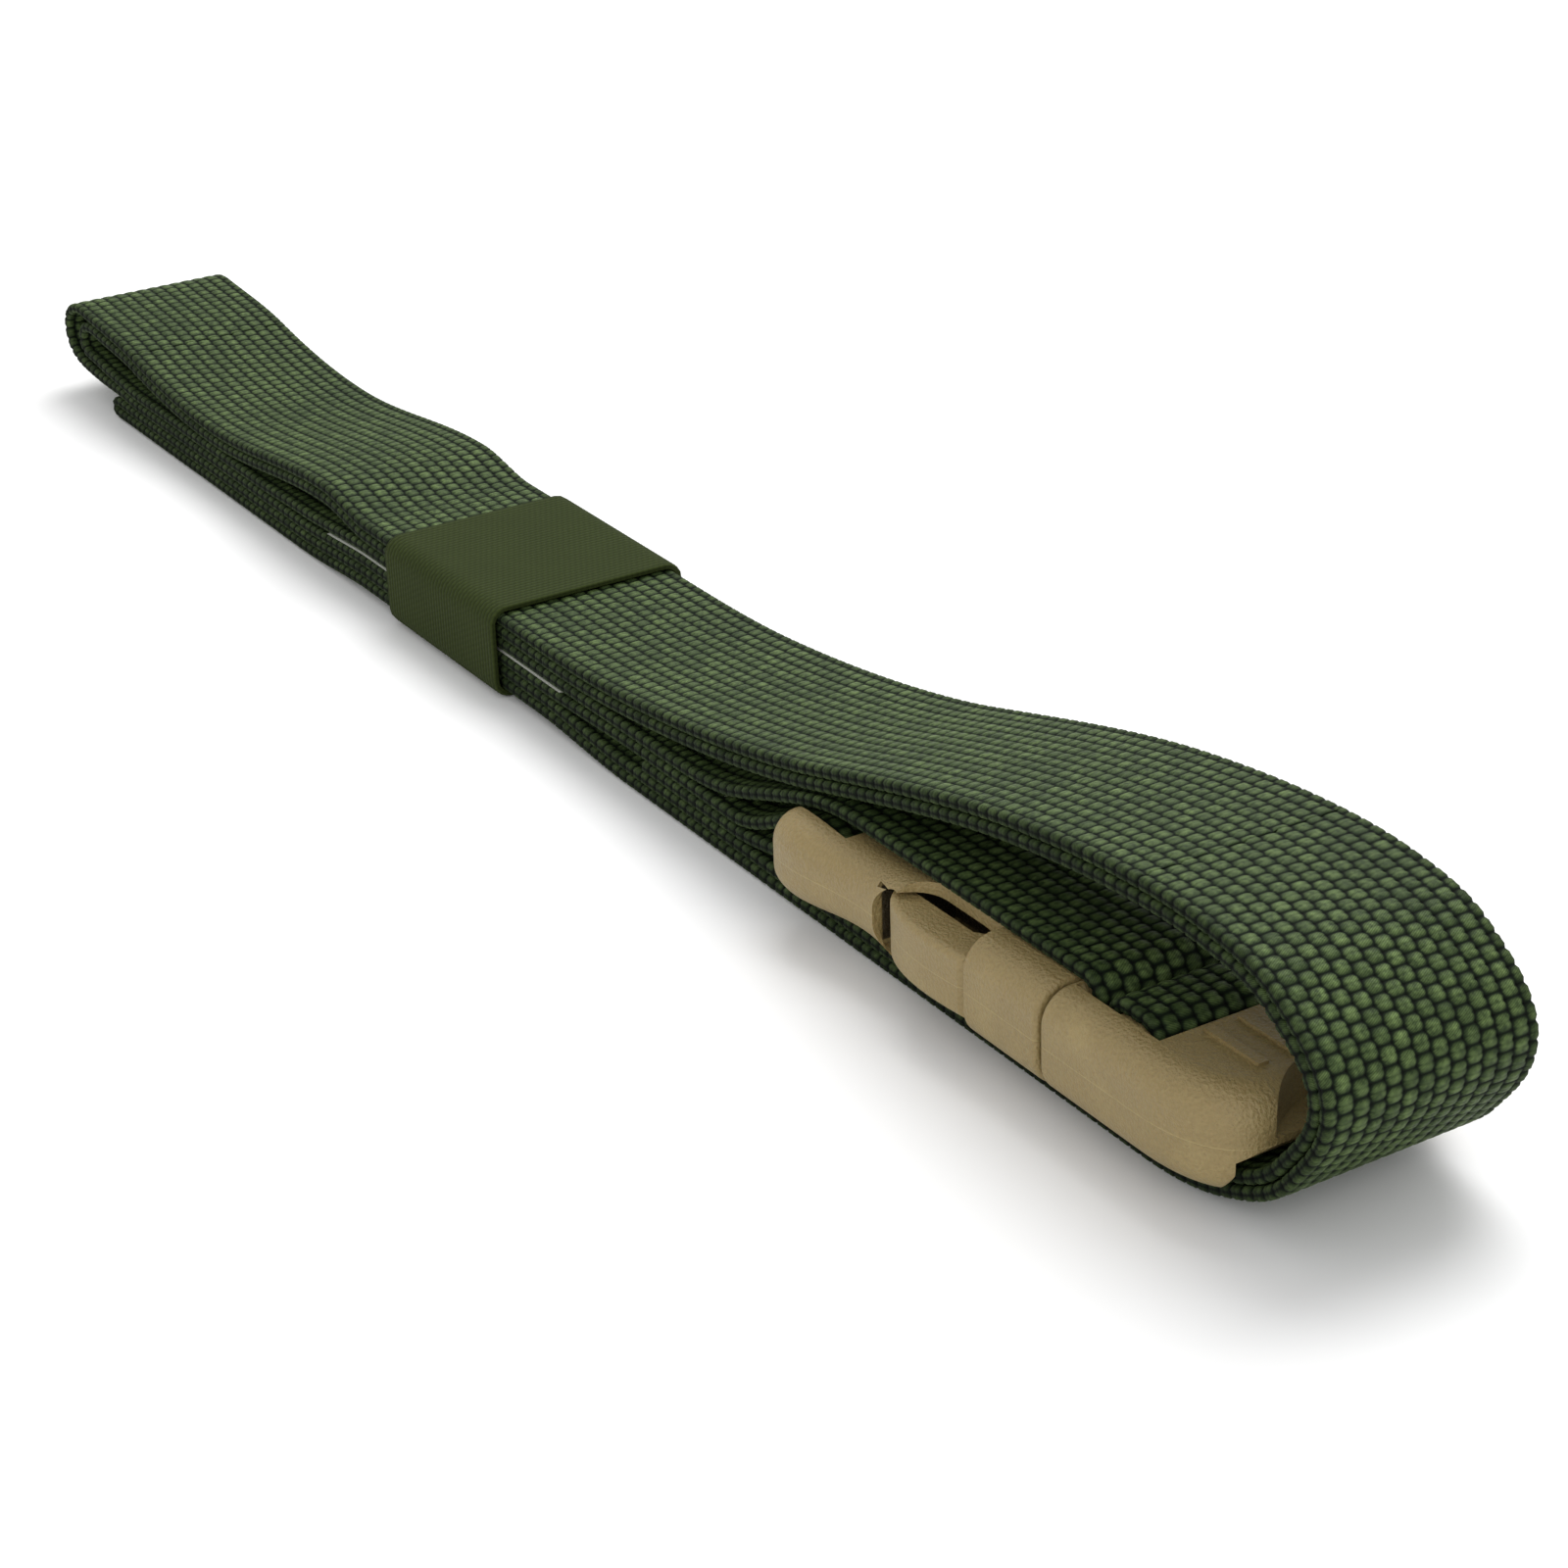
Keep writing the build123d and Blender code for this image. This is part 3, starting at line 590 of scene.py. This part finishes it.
def stitchTree():
    tree = bpy.data.node_groups.new("sewStitches", "GeometryNodeTree")
    board = Board(tree)
    for name, kind in [
            ("Geometry", "NodeSocketGeometry"), ("Start", "NodeSocketVector"), ("Step", "NodeSocketVector"),
            ("Row Step", "NodeSocketVector"), ("Count", "NodeSocketInt"), ("Rows", "NodeSocketInt"),
            ("Size", "NodeSocketVector"), ("Material", "NodeSocketMaterial")]:
        tree.interface.new_socket(name, in_out="INPUT", socket_type=kind)
    tree.interface.new_socket("Geometry", in_out="OUTPUT", socket_type="NodeSocketGeometry")
    given = board.add("NodeGroupInput").outputs
    row = board.add("GeometryNodeMeshLine", inputs={
        "Count": given["Count"], "Start Location": given["Start"], "Offset": given["Step"]})
    rows = board.add("GeometryNodeMeshLine", inputs={
        "Count": given["Rows"], "Start Location": (0, 0, 0), "Offset": given["Row Step"]})
    seam = board.add("GeometryNodeInstanceOnPoints", inputs={
        "Points": rows.outputs[0], "Instance": row.outputs[0]})
    seamReal = board.add("GeometryNodeRealizeInstances", inputs={"Geometry": seam.outputs[0]})
    bead = board.add("GeometryNodeMeshUVSphere", inputs={"Segments": 10, "Rings": 6, "Radius": 0.5})
    stitch = board.add("GeometryNodeInstanceOnPoints", inputs={
        "Points": seamReal.outputs[0], "Instance": bead.outputs[0], "Scale": given["Size"]})
    real = board.add("GeometryNodeRealizeInstances", inputs={"Geometry": stitch.outputs[0]})
    smooth = board.add("GeometryNodeSetShadeSmooth", inputs={"Geometry": real.outputs[0]})
    painted = board.add("GeometryNodeSetMaterial", inputs={
        "Geometry": smooth.outputs[0], "Material": given["Material"]})
    board.add("NodeGroupOutput", inputs={"Geometry": painted.outputs[0]})
    return tree


sewing = stitchTree()
keeperSeam = {
    "start": (-33.5, 14.62, 3.3), "step": (2.36, 0, 0), "rowStep": (0, 0, 5.6),
    "count": 12, "rows": 2, "size": (1.9, 0.36, 0.42),
}
loopSeam = {
    "start": (32.0, -10.2, 6.62), "step": (0, 2.55, 0), "rowStep": (4.67, 0, 0),
    "count": 9, "rows": 4, "size": (0.46, 2.0, 0.3),
}
for name, seam, node, body in [
        ("keeperStitches", keeperSeam, "keeper_stitching", "keeper"),
        ("loopStitches", loopSeam, "loop_stitching", "bundle")]:
    piece = plainMesh(name, sewing, {
        "Start": tuple(v * mm for v in seam["start"]), "Step": tuple(v * mm for v in seam["step"]),
        "Row Step": tuple(v * mm for v in seam["rowStep"]), "Count": seam["count"], "Rows": seam["rows"],
        "Size": tuple(v * mm for v in seam["size"]), "Material": thread})
    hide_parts(node)
    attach(piece, body)
print("stitches sewn")

# buckle: the CAD parts, in moulded plastic

for node in ("socket_shell", "plug_frame", "left_latch_arm", "right_latch_arm"):
    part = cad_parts[node]
    part.data.materials.clear()
    part.data.materials.append(moulded)
print("buckle finished")

# floor, light and camera

studio = {"floor": 6.0, "floorColour": (0.88, 0.88, 0.88), "world": 0.72}
bpy.ops.mesh.primitive_plane_add(size=studio["floor"], location=(0, 0, -0.00005))
floor = bpy.context.object
floor.name = "floor"
paper, board, shader = newMaterial("whiteTable", studio["floorColour"], 0.6)
speck = board.value(board.add("ShaderNodeTexNoise", inputs={
    "Vector": board.add("ShaderNodeTexCoord").outputs["Object"], "Scale": 14.0, "Detail": 3.0}).outputs[0])
board.feed(shader.inputs["Roughness"], 0.5 + 0.2 * speck)
floor.data.materials.append(paper)

world = bpy.data.worlds.new("studio")
scene.world = world
world.use_nodes = True
world.node_tree.nodes["Background"].inputs[0].default_value = (1.0, 1.0, 1.0, 1.0)
world.node_tree.nodes["Background"].inputs[1].default_value = studio["world"]


def softbox(name, place, aim, size, power):
    lamp = bpy.data.lights.new(name, "AREA")
    lamp.shape = "SQUARE"
    lamp.size = size
    lamp.energy = power
    box = bpy.data.objects.new(name, lamp)
    scene.collection.objects.link(box)
    box.location = place
    box.rotation_mode = "QUATERNION"
    box.rotation_quaternion = (Vector(aim) - Vector(place)).to_track_quat("-Z", "Y")


softbox("keyLight", (-0.24, 0.42, 0.90), (0.0, 0, 0), 0.75, 8.8)
softbox("fillLight", (0.85, -0.6, 0.6), (0.08, 0, 0), 0.7, 3.0)

view = {
    "azimuth": 59.0, "elevation": 25.97, "roll": -2.06, "lens": 79.47,
    "place": (0.35014, -0.1860, 0.17875),
}
a, e, r = (math.radians(view[k]) for k in ("azimuth", "elevation", "roll"))
back = Vector((math.sin(a) * math.cos(e), -math.cos(a) * math.cos(e), math.sin(e)))
right = Vector((math.cos(a), math.sin(a), 0))
up = back.cross(right)
across = right * math.cos(r) + up * math.sin(r)
over = up * math.cos(r) - right * math.sin(r)
cameraData = bpy.data.cameras.new("camera")
cameraData.lens = view["lens"]
cameraData.sensor_width = 36.0
cameraData.clip_start = 0.01
camera = bpy.data.objects.new("camera", cameraData)
scene.collection.objects.link(camera)
camera.matrix_world = Matrix.Translation(view["place"]) @ Matrix((across, over, back)).transposed().to_4x4()
scene.camera = camera
scene.view_settings.view_transform = "Standard"
print("studio set")
